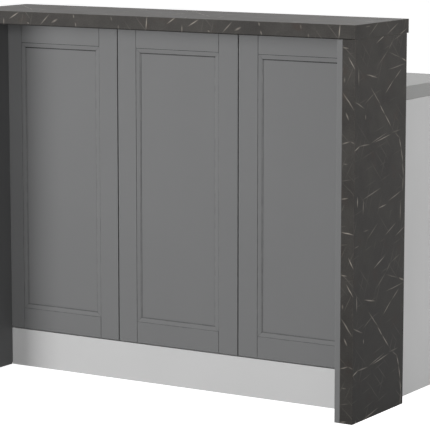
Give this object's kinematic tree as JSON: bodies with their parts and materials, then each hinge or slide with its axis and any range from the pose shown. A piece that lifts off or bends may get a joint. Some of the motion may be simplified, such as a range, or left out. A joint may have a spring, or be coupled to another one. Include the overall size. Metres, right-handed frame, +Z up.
{
  "type": "kitchen island unit",
  "caption": "Kitchen island with a raised dark marble-pattern bar on slab legs around framed grey fronts, and a pale lower cabinet behind with hinged doors and drawers.",
  "frame": {"origin": "on the floor, under the middle of the whole unit's bounding box", "axes": "+Z up; +Y from the seating side towards the kitchen side; +X to the right of someone seated at the bar"},
  "size_m": [1.276, 0.7546, 1.06],
  "materials": {
    "marble_laminate": "dark marble-pattern laminate on chipboard, satin",
    "grey_lacquer": "mid-grey lacquered MDF, satin",
    "pale_lacquer": "pale grey faced board, satin",
    "worktop_laminate": "grey laminate on chipboard, satin",
    "beech": "clear-lacquered beech and birch ply",
    "steel": "brushed"
  },
  "bodies": {
    "island": {"bar_top": "marble_laminate", "base_board": "pale_lacquer", "carrier_board": "pale_lacquer", "divider_left": "pale_lacquer", "divider_right": "pale_lacquer", "end_panel_left": "pale_lacquer", "end_panel_right": "pale_lacquer", "front_left_panel": "grey_lacquer", "front_left_rail_bottom": "grey_lacquer", "front_left_rail_top": "grey_lacquer", "front_left_stile_left": "grey_lacquer", "front_left_stile_right": "grey_lacquer", "front_middle_panel": "grey_lacquer", "front_middle_rail_bottom": "grey_lacquer", "front_middle_rail_top": "grey_lacquer", "front_middle_stile_left": "grey_lacquer", "front_middle_stile_right": "grey_lacquer", "front_right_panel": "grey_lacquer", "front_right_rail_bottom": "grey_lacquer", "front_right_rail_top": "grey_lacquer", "front_right_stile_left": "grey_lacquer", "front_right_stile_right": "grey_lacquer", "hinge_frame_leaf_left_lower": "steel", "hinge_frame_leaf_left_upper": "steel", "hinge_frame_leaf_right_lower": "steel", "hinge_frame_leaf_right_upper": "steel", "leg_left": "marble_laminate", "leg_right": "marble_laminate", "liner_left": "grey_lacquer", "liner_right": "grey_lacquer", "plinth_bar_side": "pale_lacquer", "plinth_kitchen_side": "pale_lacquer", "runner_lower_left": "beech", "runner_lower_right": "beech", "runner_upper_left": "beech", "runner_upper_right": "beech", "shelf_left": "pale_lacquer", "shelf_right": "pale_lacquer", "top_rail": "pale_lacquer", "worktop": "worktop_laminate"},
    "door_left": {"door_left": "pale_lacquer", "door_knob_left": "steel", "hinge_door_leaf_left_lower": "steel", "hinge_door_leaf_left_upper": "steel"},
    "door_right": {"door_right": "pale_lacquer", "door_knob_right": "steel", "hinge_door_leaf_right_lower": "steel", "hinge_door_leaf_right_upper": "steel"},
    "drawer_lower": {"drawer_lower_front": "pale_lacquer", "drawer_lower_knob": "steel", "drawer_lower_side_left": "beech", "drawer_lower_side_right": "beech", "drawer_lower_back": "beech", "drawer_lower_bottom": "beech"},
    "drawer_upper": {"drawer_upper_front": "pale_lacquer", "drawer_upper_knob": "steel", "drawer_upper_side_left": "beech", "drawer_upper_side_right": "beech", "drawer_upper_back": "beech", "drawer_upper_bottom": "beech"}
  },
  "joints": [
    {"name": "door_left_hinge", "type": "hinge", "parent": "island", "child": "door_left", "pos_m": [-0.6035, 0.3328, 0.472], "axis": [0, 0, 1], "range_deg": [0, 180]},
    {"name": "door_right_hinge", "type": "hinge", "parent": "island", "child": "door_right", "pos_m": [0.6035, 0.3328, 0.472], "axis": [0, 0, -1], "range_deg": [0, 180]},
    {"name": "drawer_lower_slide", "type": "slide", "parent": "island", "child": "drawer_lower", "axis": [0, 1, 0], "range_m": [0, 0.35]},
    {"name": "drawer_upper_slide", "type": "slide", "parent": "island", "child": "drawer_upper", "axis": [0, 1, 0], "range_m": [0, 0.35]}
  ]
}
